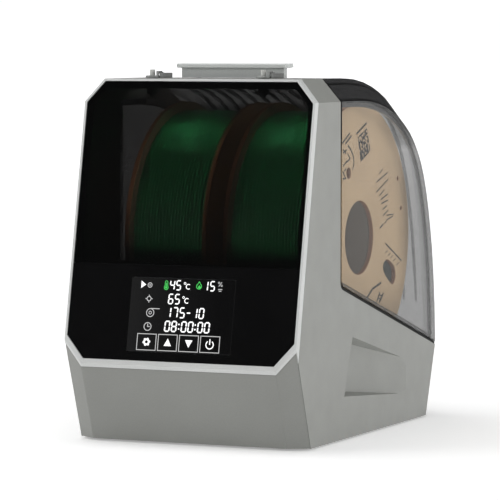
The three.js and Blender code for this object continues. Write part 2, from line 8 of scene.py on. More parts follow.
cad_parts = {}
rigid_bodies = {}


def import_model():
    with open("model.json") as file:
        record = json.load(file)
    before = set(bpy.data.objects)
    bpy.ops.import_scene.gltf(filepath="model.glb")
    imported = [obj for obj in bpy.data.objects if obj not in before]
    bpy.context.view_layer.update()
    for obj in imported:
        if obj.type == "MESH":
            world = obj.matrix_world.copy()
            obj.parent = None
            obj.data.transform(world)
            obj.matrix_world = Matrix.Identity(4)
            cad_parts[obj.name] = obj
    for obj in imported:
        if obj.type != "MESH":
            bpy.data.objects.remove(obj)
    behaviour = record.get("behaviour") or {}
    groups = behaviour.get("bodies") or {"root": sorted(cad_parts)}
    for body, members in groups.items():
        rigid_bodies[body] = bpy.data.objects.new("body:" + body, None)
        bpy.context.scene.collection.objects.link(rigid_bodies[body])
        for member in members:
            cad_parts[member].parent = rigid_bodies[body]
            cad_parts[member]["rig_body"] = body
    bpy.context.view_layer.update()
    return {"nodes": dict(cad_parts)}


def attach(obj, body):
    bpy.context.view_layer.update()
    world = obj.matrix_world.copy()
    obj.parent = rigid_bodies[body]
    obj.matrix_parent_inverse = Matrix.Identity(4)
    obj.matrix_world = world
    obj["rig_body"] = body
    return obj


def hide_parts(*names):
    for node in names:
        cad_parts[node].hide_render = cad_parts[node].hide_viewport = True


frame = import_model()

NODES = frame["nodes"]
random.seed(7)

# the design's own millimetres: x across, y from the foot of the sloping face, z from the case bottom
YC, ZF = 149.15, 1.5
def P(x, y, z):
    return Vector((x / 1000.0, (y - YC) / 1000.0, (z + ZF) / 1000.0))

HALF_W, TOP_Z, FOOT_Z, TOP_Y = 91.0, 260.4, 56.8, 40.1
FACE_L = math.hypot(TOP_Y, TOP_Z - FOOT_Z)
SA, CA = TOP_Y / FACE_L, (TOP_Z - FOOT_Z) / FACE_L
def FACE(x, s, w):
    return P(x, s * SA + w * CA, FOOT_Z + s * CA - w * SA)

# ---------------------------------------------------------------- camera
scene = bpy.context.scene
cam_data = bpy.data.cameras.new("cam")
cam = bpy.data.objects.new("cam", cam_data)
scene.collection.objects.link(cam)
cam.location = P(986.9, -2064.1, 290.7)
fwd = Vector((-0.40946, 0.90998, -0.06521)).normalized()
cam.rotation_euler = fwd.to_track_quat("-Z", "Y").to_euler()
cam_data.sensor_width = 36
cam_data.lens = 233.45
cam_data.shift_x = -0.00266
cam_data.shift_y = -0.00322
cam_data.clip_end = 50
scene.camera = cam
scene.view_settings.view_transform = "Standard"

# ---------------------------------------------------------------- node helpers
def new_mat(name):
    m = bpy.data.materials.new(name)
    m.use_nodes = True
    nt = m.node_tree
    nt.nodes.clear()
    out = nt.nodes.new("ShaderNodeOutputMaterial")
    bs = nt.nodes.new("ShaderNodeBsdfPrincipled")
    nt.links.new(bs.outputs[0], out.inputs[0])
    tc = nt.nodes.new("ShaderNodeTexCoord")
    return m, nt, bs, tc.outputs["Object"]

def noise(nt, vec, scale, detail=3.0, rough=0.5):
    n = nt.nodes.new("ShaderNodeTexNoise")
    n.inputs["Scale"].default_value = scale
    n.inputs["Detail"].default_value = detail
    n.inputs["Roughness"].default_value = rough
    nt.links.new(vec, n.inputs["Vector"])
    return n.outputs["Fac"]

def scaled(nt, vec, s):
    m = nt.nodes.new("ShaderNodeVectorMath")
    m.operation = "MULTIPLY"
    nt.links.new(vec, m.inputs[0])
    m.inputs[1].default_value = s
    return m.outputs[0]

def ramp(nt, fac, stops):
    r = nt.nodes.new("ShaderNodeValToRGB")
    el = r.color_ramp.elements
    while len(el) < len(stops):
        el.new(0.5)
    for e, (p, c) in zip(el, stops):
        e.position = p
        e.color = (*c, 1) if len(c) == 3 else c
    nt.links.new(fac, r.inputs[0])
    return r.outputs["Color"]

def maprange(nt, v, a0, a1, b0, b1):
    n = nt.nodes.new("ShaderNodeMapRange")
    nt.links.new(v, n.inputs["Value"])
    n.inputs["From Min"].default_value = a0
    n.inputs["From Max"].default_value = a1
    n.inputs["To Min"].default_value = b0
    n.inputs["To Max"].default_value = b1
    return n.outputs["Result"]

def maths(nt, op, a, b=None, clamp=False):
    n = nt.nodes.new("ShaderNodeMath")
    n.operation = op
    n.use_clamp = clamp
    for i, v in enumerate((a, b)):
        if v is None:
            continue
        if isinstance(v, (int, float)):
            n.inputs[i].default_value = v
        else:
            nt.links.new(v, n.inputs[i])
    return n.outputs[0]

def mixc(nt, fac, a, b):
    n = nt.nodes.new("ShaderNodeMix")
    n.data_type = "RGBA"
    if isinstance(fac, (int, float)):
        n.inputs["Factor"].default_value = fac
    else:
        nt.links.new(fac, n.inputs["Factor"])
    for k, v in (("A", a), ("B", b)):
        sock = [s for s in n.inputs if s.name == k and s.type == "RGBA"][0]
        if isinstance(v, (tuple, list)):
            sock.default_value = (*v, 1)
        else:
            nt.links.new(v, sock)
    return [s for s in n.outputs if s.type == "RGBA"][0]

def bump(nt, bs, height, strength, dist, chain=None):
    b = nt.nodes.new("ShaderNodeBump")
    b.inputs["Strength"].default_value = strength
    b.inputs["Distance"].default_value = dist
    nt.links.new(height, b.inputs["Height"])
    if chain is not None:
        nt.links.new(chain, b.inputs["Normal"])
    nt.links.new(b.outputs[0], bs.inputs["Normal"])
    return b.outputs[0]

def shade(c, k):
    return tuple(max(0.0, v * k) for v in c)

def moulded(name, col, rough=0.45, grain=900.0, depth=0.00004, var=0.10, spec=0.5, metal=0.0, gs=0.35, coat=0.0):
    """painted or moulded surface: fine grain, faint blotches, slightly uneven gloss"""
    m, nt, bs, v = new_mat(name)
    big = noise(nt, v, 22.0, 3.0)
    fine = noise(nt, v, grain, 2.0, 0.6)
    c = ramp(nt, big, [(0.30, shade(col, 1 - var)), (0.70, shade(col, 1 + var))])
    c = mixc(nt, maprange(nt, fine, 0.3, 0.7, 0.0, 0.25), c, shade(col, 0.75))
    nt.links.new(c, bs.inputs["Base Color"])
    r = maprange(nt, noise(nt, v, 55.0, 4.0), 0.3, 0.7, rough - 0.05, rough + 0.07)
    nt.links.new(r, bs.inputs["Roughness"])
    bs.inputs["Metallic"].default_value = metal
    bs.inputs["Specular IOR Level"].default_value = spec
    bs.inputs["Coat Weight"].default_value = coat
    bump(nt, bs, fine, gs, depth)
    return m

def glassy(name, col, face_alpha, edge_alpha, rough=0.04, spec=0.5, power=4.0, roof=None):
    """tinted clear plastic: denser where the wall is seen edge-on, faint moulding waviness and dust"""
    m, nt, bs, v = new_mat(name)
    lw = nt.nodes.new("ShaderNodeLayerWeight")
    lw.inputs["Blend"].default_value = 0.5
    f = maths(nt, "POWER", lw.outputs["Facing"], power)
    a = maprange(nt, f, 0.0, 1.0, face_alpha, edge_alpha)
    c = ramp(nt, noise(nt, v, 14.0, 2.0), [(0.3, shade(col, 0.92)), (0.7, shade(col, 1.08))])
    if roof:
        # the tint deepens over the top of the lid
        sep = nt.nodes.new("ShaderNodeSeparateXYZ")
        nt.links.new(v, sep.inputs[0])
        up = maprange(nt, sep.outputs["Z"], roof[0], roof[1], 0.0, 1.0)
        a = maths(nt, "ADD", maths(nt, "MULTIPLY", a, maths(nt, "SUBTRACT", 1.0, up)), maths(nt, "MULTIPLY", up, roof[2]))
        # painted sheen: high on the lid, the side chamfers are painted a lighter grey, standing in for the pale band of
        # light they catch
        edge = maprange(nt, maths(nt, "ABSOLUTE", sep.outputs["X"]), 0.0745, 0.0775, 0.0, 1.0)
        c = mixc(nt, maths(nt, "MULTIPLY", up, edge), c, roof[3])
        # the ribs' roots show through as fine darker lines
        ln = maths(nt, "ABSOLUTE", maths(nt, "SUBTRACT", maths(nt, "FRACT", maths(nt, "ADD", maths(nt, "MULTIPLY", sep.outputs["X"], 100.0), 0.5)), 0.5))
        c = mixc(nt, maths(nt, "MULTIPLY", up, maprange(nt, ln, 0.05, 0.09, 0.75, 0.0)), c, shade(col, 0.2))
    dust = noise(nt, v, 260.0, 5.0, 0.65)
    a = maths(nt, "ADD", a, maprange(nt, dust, 0.55, 0.8, 0.0, 0.03), True)
    nt.links.new(a, bs.inputs["Alpha"])
    nt.links.new(c, bs.inputs["Base Color"])
    nt.links.new(maprange(nt, noise(nt, v, 70.0, 3.0), 0.3, 0.7, rough, rough + 0.03), bs.inputs["Roughness"])
    bs.inputs["Specular IOR Level"].default_value = spec
    bump(nt, bs, noise(nt, v, 9.0, 2.0), 0.05, 0.0006)
    return m

def brushed(name, col, rough=0.3, axis=(1, 40, 40)):
    m, nt, bs, v = new_mat(name)
    s = noise(nt, scaled(nt, v, axis), 60.0, 4.0, 0.6)
    nt.links.new(ramp(nt, s, [(0.3, shade(col, 0.82)), (0.7, shade(col, 1.12))]), bs.inputs["Base Color"])
    nt.links.new(maprange(nt, s, 0.3, 0.7, rough - 0.06, rough + 0.12), bs.inputs["Roughness"])
    bs.inputs["Metallic"].default_value = 1.0
    bump(nt, bs, s, 0.15, 0.00002)
    return m

def emissive(name, col, strength):
    m, nt, bs, v = new_mat(name)
    n = noise(nt, v, 1500.0, 1.0)
    c = ramp(nt, n, [(0.2, shade(col, 0.9)), (0.8, col)])
    nt.links.new(c, bs.inputs["Emission Color"])
    bs.inputs["Base Color"].default_value = (*shade(col, 0.25), 1)
    bs.inputs["Roughness"].default_value = 0.35
    bs.inputs["Emission Strength"].default_value = strength
    return m

# ---------------------------------------------------------------- materials
GREY = (0.285, 0.29, 0.272)
M = {}
M["case"] = moulded("case_paint", GREY, 0.42, 1100.0, 0.00003, 0.035, 0.45, 0.0, 0.25)
# the cover's grey is the case grey made darker: painted shade for a face turned down and away from the light
M["cover"] = moulded("cover_painted_shade", shade(GREY, 0.89), 0.42, 1100.0, 0.00003, 0.035, 0.45, 0.0, 0.25)
# the rim's pale grey is a painted highlight, standing in for the light caught by its bevelled edge
M["rim"] = moulded("rim_painted_highlight", (0.62, 0.63, 0.62), 0.38, 1100.0, 0.00003, 0.03, 0.5, 0.0, 0.2)
# the handle's grey is painted much lighter than the case: painted light to make up for the shade under its lip
M["handle"] = moulded("handle_painted_light", (0.78, 0.81, 0.79), 0.4, 900.0, 0.00003, 0.04, 0.5, 0.0, 0.25)
M["window"] = glassy("smoked_window", (0.003, 0.0031, 0.0031), 0.865, 0.97, 0.03, 0.18)
M["lid"] = glassy("lid_smoke", (0.010, 0.010, 0.010), 0.365, 1.0, 0.10, 0.25, 4.0, (0.205, 0.226, 0.96, (0.038, 0.038, 0.039)))
# the roof's underside is a lighter grey copy of the smoke: painted light, standing in for the roof lit from outside
M["lid_in"] = glassy("lid_underside_painted_light", (0.24, 0.24, 0.24), 0.30, 0.9, 0.25, 0.25, 4.0, (0.205, 0.226, 0.95, (0.24, 0.24, 0.24)))
M["rib"] = glassy("lid_rib", (0.010, 0.010, 0.010), 0.30, 0.70, 0.25, 0.3, 3.0)
M["sidewin"] = glassy("lid_side_clear", (0.09, 0.09, 0.089), 0.15, 0.95, 0.05, 0.3, 4.0)
M["panel"] = moulded("panel_gloss", (0.004, 0.004, 0.0042), 0.07, 700.0, 0.000004, 0.15, 0.5, 0.0, 0.06)
M["liner"] = moulded("liner_plastic", (0.011, 0.0105, 0.009), 0.55, 800.0, 0.00005, 0.15)
M["tub"] = moulded("tub_plastic", (0.013, 0.013, 0.013), 0.6, 800.0, 0.00006, 0.15)
M["black"] = moulded("black_plastic", (0.012, 0.012, 0.013), 0.5, 900.0, 0.00005, 0.12)
M["rubber"] = moulded("rubber", (0.014, 0.014, 0.014), 0.8, 1300.0, 0.00008, 0.2, 0.3)
M["seal"] = moulded("seal_rubber", (0.010, 0.010, 0.010), 0.75, 1300.0, 0.00006, 0.2, 0.3)
M["cap"] = moulded("cap_silicone", (0.20, 0.205, 0.20), 0.6, 1200.0, 0.00004, 0.08, 0.4)
M["collar"] = moulded("collar_plastic", (0.30, 0.31, 0.30), 0.4, 900.0, 0.00003, 0.06)
M["tube"] = moulded("tube_plastic", (0.56, 0.57, 0.54), 0.35, 900.0, 0.00002, 0.05)
M["steel"] = brushed("steel", (0.56, 0.57, 0.58), 0.3)
M["alu"] = brushed("aluminium", (0.62, 0.63, 0.64), 0.35, (40, 1, 40))
M["brass"] = brushed("brass", (0.72, 0.58, 0.30), 0.28)
M["base"] = moulded("base_plastic", (0.022, 0.022, 0.022), 0.6, 700.0, 0.00007, 0.12)

def board_mat():
    m, nt, bs, v = new_mat("board")
    b = nt.nodes.new("ShaderNodeTexBrick")
    b.inputs["Scale"].default_value = 120.0
    b.inputs["Mortar Size"].default_value = 0.03
    b.inputs["Color1"].default_value = (0.010, 0.085, 0.030, 1)
    b.inputs["Color2"].default_value = (0.012, 0.11, 0.04, 1)
    b.inputs["Mortar"].default_value = (0.09, 0.20, 0.09, 1)
    nt.links.new(v, b.inputs["Vector"])
    nt.links.new(b.outputs["Color"], bs.inputs["Base Color"])
    nt.links.new(maprange(nt, noise(nt, v, 300.0), 0.3, 0.7, 0.3, 0.45), bs.inputs["Roughness"])
    bump(nt, bs, b.outputs["Fac"], 0.2, 0.00004)
    return m
M["board"] = board_mat()

def display_mat():
    m, nt, bs, v = new_mat("display_glass_painted_reflection")
    sep = nt.nodes.new("ShaderNodeSeparateXYZ")
    nt.links.new(v, sep.inputs[0])
    # painted reflection: the glass glows grey on its left and fades to near black on its right, with darker specks
    g = maprange(nt, sep.outputs["X"], -0.0415, 0.030, 0.0, 1.0)
    c = ramp(nt, g, [(0.0, (0.0175, 0.0175, 0.0175)), (0.45, (0.0085, 0.0085, 0.0085)), (1.0, (0.0016, 0.0016, 0.0016))])
    c = mixc(nt, maprange(nt, noise(nt, v, 2200.0, 1.0), 0.4, 0.6, 0.0, 0.25), c, (0.003, 0.003, 0.003))
    nt.links.new(c, bs.inputs["Emission Color"])
    bs.inputs["Emission Strength"].default_value = 0.75
    bs.inputs["Base Color"].default_value = (0.003, 0.003, 0.0032, 1)
    nt.links.new(maprange(nt, noise(nt, v, 90.0), 0.3, 0.7, 0.06, 0.10), bs.inputs["Roughness"])
    return m
M["display"] = display_mat()

def card_mat(name, face, edge):
    """pressed card: speckled face, laminated edge"""
    m, nt, bs, v = new_mat(name)
    geo = nt.nodes.new("ShaderNodeNewGeometry")
    sep = nt.nodes.new("ShaderNodeSeparateXYZ")
    nt.links.new(geo.outputs["Normal"], sep.inputs[0])
    isface = maprange(nt, maths(nt, "ABSOLUTE", sep.outputs["X"]), 0.7, 0.95, 0.0, 1.0)
    fibres = noise(nt, scaled(nt, v, (1, 1.0, 3.5)), 260.0, 6.0, 0.7)
    blot = noise(nt, v, 30.0, 3.0)
    c = ramp(nt, blot, [(0.3, shade(face, 0.93)), (0.7, shade(face, 1.06))])
    c = mixc(nt, maprange(nt, fibres, 0.45, 0.75, 0.0, 0.45), c, shade(face, 0.72))
    ply = nt.nodes.new("ShaderNodeTexWave")
    ply.wave_type = "BANDS"
    ply.bands_direction = "X"
    ply.inputs["Scale"].default_value = 450.0
    ply.inputs["Distortion"].default_value = 1.5
    nt.links.new(v, ply.inputs["Vector"])
    e = ramp(nt, ply.outputs["Fac"], [(0.2, shade(edge, 0.65)), (0.8, edge)])
    nt.links.new(mixc(nt, isface, e, c), bs.inputs["Base Color"])
    bs.inputs["Roughness"].default_value = 0.85
    bs.inputs["Specular IOR Level"].default_value = 0.25
    bump(nt, bs, fibres, 0.5, 0.00008)
    return m
M["card"] = card_mat("card_flange", (0.57, 0.415, 0.250), (0.34, 0.145, 0.060))
M["core"] = card_mat("card_core", (0.20, 0.165, 0.13), (0.24, 0.20, 0.16))
M["print"] = moulded("print_black", (0.020, 0.018, 0.016), 0.7, 1500.0, 0.00002, 0.2, 0.3)

def filament_mat():
    """wound filament: each turn catches light on its crown, and the groove where it meets the next is painted dark, a
    painted shade
    """
    m, nt, bs, v = new_mat("filament_green")
    a = noise(nt, scaled(nt, v, (1, 0.25, 0.25)), 800.0, 2.0)
    c = ramp(nt, a, [(0.3, (0.020, 0.250, 0.074)), (0.7, (0.034, 0.350, 0.108))])
    sep = nt.nodes.new("ShaderNodeSeparateXYZ")
    nt.links.new(v, sep.inputs[0])
    t = maths(nt, "SUBTRACT", maths(nt, "ABSOLUTE", sep.outputs["X"]), 0.0103)
    t = maths(nt, "MULTIPLY", t, 2 * math.pi * 24.0 / 0.0584)
    # painted shade: the colour goes near black in the groove between turns
    g = maprange(nt, maths(nt, "COSINE", t), -0.7, 0.5, 0.0, 1.0)
    c = mixc(nt, g, c, (0.001, 0.010, 0.004))
    nt.links.new(c, bs.inputs["Base Color"])
    dull = maths(nt, "MULTIPLY", g, 0.55)
    nt.links.new(maths(nt, "ADD", maprange(nt, noise(nt, v, 120.0), 0.3, 0.7, 0.26, 0.36), dull), bs.inputs["Roughness"])
    bs.inputs["Specular IOR Level"].default_value = 0.7
    bump(nt, bs, noise(nt, v, 1200.0), 0.15, 0.00003)
    return m
M["filament"] = filament_mat()
M["lit"] = emissive("lit_white", (0.95, 0.95, 0.95), 1.15)
M["lit_soft"] = emissive("lit_soft", (0.60, 0.60, 0.60), 0.75)
M["lit_green"] = emissive("lit_green", (0.06, 0.55, 0.10), 1.0)

# ---------------------------------------------------------------- mesh helpers
def link(name, me, mat, body, replaces=()):
    ob = bpy.data.objects.new(name, me)
    scene.collection.objects.link(ob)
    me.materials.clear()
    for k in (mat if isinstance(mat, (list, tuple)) else [mat]):
        me.materials.append(k)
    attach(ob, body)
    if replaces:
        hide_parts(*replaces)
    return ob

def finish_bm(bm, smooth_deg=32.0):
    for f in bm.faces:
        f.smooth = True
    lim = math.radians(smooth_deg)
    for e in bm.edges:
        e.smooth = not (len(e.link_faces) == 2 and e.calc_face_angle(0.0) > lim)

def weight_normals(ob):
    md = ob.modifiers.new("wn", "WEIGHTED_NORMAL")
    md.keep_sharp = True
    md.weight = 80
    dg = bpy.context.evaluated_depsgraph_get()
    me = bpy.data.meshes.new_from_object(ob.evaluated_get(dg), depsgraph=dg)
    ob.modifiers.clear()
    old = ob.data
    ob.data = me
    bpy.data.meshes.remove(old)

def refine(node, mat, width=0.0005, segs=2, sharp=24.0, smooth=32.0):
    """the CAD solid with its hard edges eased"""
    src = NODES[node]
    bm = bmesh.new()
    bm.from_mesh(src.data)
    bmesh.ops.remove_doubles(bm, verts=bm.verts, dist=2e-6)
    bmesh.ops.dissolve_limit(bm, angle_limit=math.radians(0.5), verts=bm.verts, edges=bm.edges)
    bmesh.ops.dissolve_degenerate(bm, dist=2e-6, edges=bm.edges)
    if width > 0:
        es = [e for e in bm.edges if len(e.link_faces) == 2 and e.calc_face_angle(0.0) > math.radians(sharp)]
        bmesh.ops.bevel(bm, geom=es, offset=width, offset_type="OFFSET", segments=segs, profile=0.5,
                        affect="EDGES", clamp_overlap=True)
    bmesh.ops.recalc_face_normals(bm, faces=bm.faces)
    finish_bm(bm, smooth)
    me = bpy.data.meshes.new(node + "_fine")
    bm.to_mesh(me)
    bm.free()
    ob = link(node + "_fine", me, mat, src["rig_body"], (node,))
    weight_normals(ob)
    ob.data.materials.clear()
    for k in (mat if isinstance(mat, (list, tuple)) else [mat]):
        ob.data.materials.append(k)
    return ob

def lathe(name, prof, segs, centre, mat, body, replaces=(), smooth=40.0):
    """closed (radius, height) loop in mm turned about X at centre (mm, design frame)"""
    bm = bmesh.new()
    rings = []
    for i in range(segs):
        a = 2 * math.pi * i / segs
        ca, sa = math.cos(a), math.sin(a)
        rings.append([bm.verts.new(P(centre[0] + h, centre[1] + r * ca, centre[2] + r * sa)) for r, h in prof])
    n = len(prof)
    for i in range(segs):
        a, b = rings[i], rings[(i + 1) % segs]
        for j in range(n):
            k = (j + 1) % n
            bm.faces.new((a[j], a[k], b[k], b[j]))
    bmesh.ops.recalc_face_normals(bm, faces=bm.faces)
    finish_bm(bm, smooth)
    me = bpy.data.meshes.new(name)
    bm.to_mesh(me)
    bm.free()
    return link(name, me, mat, body, replaces)

def plates(name, polys, place, t, mat, body):
    """flat marks: each polygon becomes a thin plate; place(u, v, w) maps to the row frame"""
    bm = bmesh.new()
    for poly in polys:
        top = [bm.verts.new(place(u, v, 0.0)) for u, v in poly]
        bot = [bm.verts.new(place(u, v, t)) for u, v in poly]
        bm.faces.new(top)
        bm.faces.new(list(reversed(bot)))
        k = len(poly)
        for i in range(k):
            j = (i + 1) % k
            bm.faces.new((top[j], top[i], bot[i], bot[j]))
    bmesh.ops.recalc_face_normals(bm, faces=bm.faces)
    for f in bm.faces:
        f.smooth = False
    me = bpy.data.meshes.new(name)
    bm.to_mesh(me)
    bm.free()
    return link(name, me, mat, body)

def rect(x0, x1, y0, y1):
    return [(x0, y0), (x1, y0), (x1, y1), (x0, y1)]

def disc(cx, cy, r, n=24, a0=0.0, a1=360.0):
    return [(cx + r * math.cos(math.radians(a0 + (a1 - a0) * i / n)), cy + r * math.sin(math.radians(a0 + (a1 - a0) * i / n)))
            for i in range(n if abs(a1 - a0) >= 360 else n + 1)]

def arc(cx, cy, r0, r1, a0, a1, n=16):
    out = []
    for i in range(n):
        b0, b1 = (math.radians(a0 + (a1 - a0) * (i + k) / n) for k in (0, 1))
        out.append([(cx + r0 * math.cos(b0), cy + r0 * math.sin(b0)), (cx + r1 * math.cos(b0), cy + r1 * math.sin(b0)),
                    (cx + r1 * math.cos(b1), cy + r1 * math.sin(b1)), (cx + r0 * math.cos(b1), cy + r0 * math.sin(b1))])
    return out

def outline(x0, x1, y0, y1, t):
    return [rect(x0, x1, y0, y0 + t), rect(x0, x1, y1 - t, y1), rect(x0, x0 + t, y0 + t, y1 - t), rect(x1 - t, x1, y0 + t, y1 - t)]

# ---------------------------------------------------------------- case
refine("body_shell", M["case"], 0.0007, 3)
refine("lower_front_cover", M["cover"], 0.0007, 3)
rim = refine("front_bezel", [M["rim"], M["liner"]], 0.0003, 2)
for f in rim.data.polygons:
    p = f.center * 1000 + Vector((0, YC, -ZF))
    w = p.y * CA - (p.z - FOOT_Z) * SA
    if w > 2.2 and f.normal.dot((f.center - FACE(0, 104, 3)).normalized()) < 0.25:
        f.material_index = 1
refine("front_window", M["window"], 0.0002, 1)
refine("control_panel", M["panel"], 0.0002, 1)
def slab(name, x0, x1, s0, s1, w0, w1, mat, body):
    bm = bmesh.new()
    v = [bm.verts.new(FACE(x, q, w)) for w in (w0, w1) for x, q in ((x0, s0), (x1, s0), (x1, s1), (x0, s1))]
    for f in ((0, 1, 2, 3), (7, 6, 5, 4), (0, 4, 5, 1), (1, 5, 6, 2), (2, 6, 7, 3), (3, 7, 4, 0)):
        bm.faces.new([v[i] for i in f])
    bmesh.ops.recalc_face_normals(bm, faces=bm.faces)
    me = bpy.data.meshes.new(name)
    bm.to_mesh(me)
    bm.free()
    return link(name, me, mat, body)
# a black strip behind the joint of window and panel: a dark sheet put there so that the gap reads as shade
slab("joint_shade_strip", -83, 83, 70.6, 74.0, 3.13, 3.33, M["black"], "case")
refine("display_glass", M["display"], 0.00015, 1)
refine("arch_liner", M["liner"], 0.0002, 1)
refine("chamber_tub", M["tub"], 0.0003, 1)
refine("base_plate", M["base"], 0.0003, 2)
refine("heater_grille", M["alu"], 0.0002, 1)
refine("ptc_heater", M["alu"], 0.00015, 1)
refine("fan_housing", M["black"], 0.0003, 1)
refine("fan_impeller", M["black"], 0.0001, 1)
for n in ("control_board", "humidity_sensor", "power_supply_board"):
    refine(n, M["board"], 0.00015, 1)
refine("display_module", M["alu"], 0.0002, 1)
refine("mains_inlet", M["black"], 0.0003, 2)
for s in ("left", "right"):
    refine("inlet_pin_" + s, M["brass"], 0.0003, 2)
    refine("lid_hinge_pin_" + s, M["steel"], 0.0002, 2)
    refine("lid_handle_screw_" + s, M["steel"], 0.0002, 1)
    refine("outlet_collar_" + s, M["collar"], 0.00025, 2)
    refine("outlet_tube_" + s, M["tube"], 0.00015, 1)
    refine("outlet_cap_" + s, M["cap"], 0.00025, 2)
    refine("lid_side_window_" + s, M["sidewin"], 0.0002, 1)
for k in ("front_left", "front_right", "rear_left", "rear_right"):
    refine("foot_" + k, M["rubber"], 0.0002, 1)
    refine("base_screw_" + k, M["steel"], 0.0002, 1)
for k in ("front", "rear"):
    refine("roller_shaft_" + k, M["steel"], 0.0002, 1)
    for s in ("left", "right"):
        refine("roller_%s_%s" % (s, k), M["black"], 0.0002, 1)
shell = refine("lid_shell", [M["lid"], M["lid_in"]], 0.0006, 3, 26.0, 34.0)
# inner faces of the roof get the lighter underside material: painted light
for f in shell.data.polygons:
    if f.center.z > 0.200 and f.center.y > -0.06 and f.normal.dot((f.center - P(0, 150, 120)).normalized()) < -0.35:
        f.material_index = 1
refine("lid_gasket", M["seal"], 0.0002, 1)
refine("lid_handle", M["handle"], 0.0005, 3)

# ---------------------------------------------------------------- ribs under the roof
CURVE = [(40.1, 260.4), (117, 260.4), (130, 260.0), (143, 259.3), (161, 257), (178, 253.4), (191.5, 249.4), (205, 244.4),
         (217, 238.5), (228.5, 231.7), (238.5, 223.8), (247.5, 215), (256, 204.5), (263, 192.5), (269, 179), (274, 164.5),
         (278.6, 148), (282.6, 131), (286.2, 108), (288.6, 86), (290, 62), (290.4, 52)]
def smooth_curve(pts, n=4):
    out = []
    for i in range(len(pts) - 1):
        p0, p1, p2, p3 = (Vector(pts[max(0, min(len(pts) - 1, i + k))]) for k in (-1, 0, 1, 2))
        for j in range(n):
            t = j / n
            out.append(0.5 * ((2 * p1) + (p2 - p0) * t + (2 * p0 - 5 * p1 + 4 * p2 - p3) * t * t + (3 * p1 - p0 - 3 * p2 + p3) * t ** 3))
    out.append(Vector(pts[-1]))
    return out
def offset_pt(pts, i, d):
    a, b = pts[max(0, i - 1)], pts[min(len(pts) - 1, i + 1)]
    t = (b - a).normalized()
    return pts[i] + Vector((t.y, -t.x)) * d

line = [p for p in smooth_curve(CURVE[1:]) if 124 < p.x and p.y > 84]
bm = bmesh.new()
for k in range(-7, 8):
    x = k * 10.0
    n = len(line)
    loops = []
    for i in range(n):
        # the rib grows out of the skin and dies away at both ends
        e = min(1.0, i / 6.0, (n - 1 - i) / 6.0)
        o = offset_pt(line, i, 2.55)
        q = offset_pt(line, i, 2.6 + 2.2 * max(0.06, e))
        w = 0.9
        loops.append([bm.verts.new(P(x + dx, p.x, p.y)) for dx, p in ((-w, o), (w, o), (w * 0.7, q), (-w * 0.7, q))])
    for i in range(n - 1):
        for j in range(4):
            bm.faces.new((loops[i][j], loops[i][(j + 1) % 4], loops[i + 1][(j + 1) % 4], loops[i + 1][j]))
    bm.faces.new(loops[0])
    bm.faces.new(list(reversed(loops[-1])))
bmesh.ops.recalc_face_normals(bm, faces=bm.faces)
finish_bm(bm)
me = bpy.data.meshes.new("lid_ribs")
bm.to_mesh(me)
bm.free()
link("lid_ribs", me, M["rib"], "lid")

# ---------------------------------------------------------------- spools
# printed rules and ticks on the card: start, end, width, from the spool's centre
STROKES = [
    (-6.1, 77.2, 13.9, 85.0, 1.3), (-33.1, 71.3, -18.4, 78.3, 1.2), (-27.5, 70.5, -15.5, 76.4, 1.2), (-31.9, 66.7, -26.0, 63.4, 1.1),
    (-31.4, 64.1, -24.1, 66.1, 0.9), (-23.1, 63.3, -18.2, 59.5, 1.0), (-25.1, 56.9, -17.7, 59.5, 1.0), (-31.4, 54.4, -24.1, 58.0, 1.0),
    (-29.5, 50.5, -25.4, 52.3, 1.0), (-32.4, 50.5, -28.0, 46.7, 1.2), (-31.9, 45.0, -25.6, 45.4, 1.2), (39.3, 46.0, 46.3, 49.5, 0.7),
    (33.5, 39.9, 56.1, 46.3, 0.8), (33.5, 32.3, 57.2, 41.2, 0.8), (39.6, 29.4, 49.4, 33.5, 0.8), (42.4, 26.4, 56.7, 30.0, 0.8),
    (43.7, 23.4, 56.7, 25.3, 0.8), (46.3, 18.7, 54.9, 21.3, 0.8), (47.1, 14.0, 57.7, 17.7, 0.8), (54.6, 13.9, 68.7, 14.1, 0.8),
    (53.6, 10.4, 67.2, 12.6, 0.8), (40.7, 4.9, 47.9, 7.7, 1.1), (50.5, 8.2, 54.1, 9.4, 0.9), (52.3, -7.3, 85.2, -22.5, 1.1),
    (52.3, -14.6, 56.7, -12.9, 0.6), (57.5, -17.0, 62.0, -15.4, 0.6), (63.0, -19.0, 67.2, -17.4, 0.6), (68.3, -21.6, 73.0, -20.0, 0.6),
    (75.4, -25.2, 79.9, -23.5, 0.6), (13.9, -46.9, 27.9, -39.2, 1.6), (27.9, -39.8, 43.8, -36.5, 1.4), (34.3, -51.1, 41.2, -43.4, 1.2),
    (39.4, -51.5, 48.5, -44.6, 1.5), (38.2, -48.0, 44.9, -49.2, 1.0), (40.2, -45.5, 46.9, -47.0, 1.0), (27.9, -49.6, 35.6, -52.6, 1.0),
    (50.6, -57.4, 54.2, -59.0, 1.0),
]
SY, SZ, SX = 163.6, 141.4, 39.5
def curve_plate(name, outer, holes, t, bevel, to_world, mat, body, replaces):
    cu = bpy.data.curves.new(name, "CURVE")
    cu.dimensions = "2D"
    cu.fill_mode = "BOTH"
    cu.extrude = t / 2000.0 - bevel / 1000.0
    cu.bevel_depth = bevel / 1000.0
    cu.bevel_resolution = 2
    cu.offset = -bevel / 1000.0
    for loop in [outer] + holes:
        sp = cu.splines.new("POLY")
        sp.points.add(len(loop) - 1)
        for p, (u, v) in zip(sp.points, loop):
            p.co = (u / 1000.0, v / 1000.0, 0, 1)
        sp.use_cyclic_u = True
    ob = bpy.data.objects.new(name + "_c", cu)
    scene.collection.objects.link(ob)
    dg = bpy.context.evaluated_depsgraph_get()
    me = bpy.data.meshes.new_from_object(ob.evaluated_get(dg))
    bpy.data.objects.remove(ob)
    me.transform(to_world)
    bm = bmesh.new()
    bm.from_mesh(me)
    bmesh.ops.remove_doubles(bm, verts=bm.verts, dist=1e-6)
    bmesh.ops.recalc_face_normals(bm, faces=bm.faces)
    finish_bm(bm, 40)
    bm.to_mesh(me)
    bm.free()
    return link(name, me, mat, body, replaces)

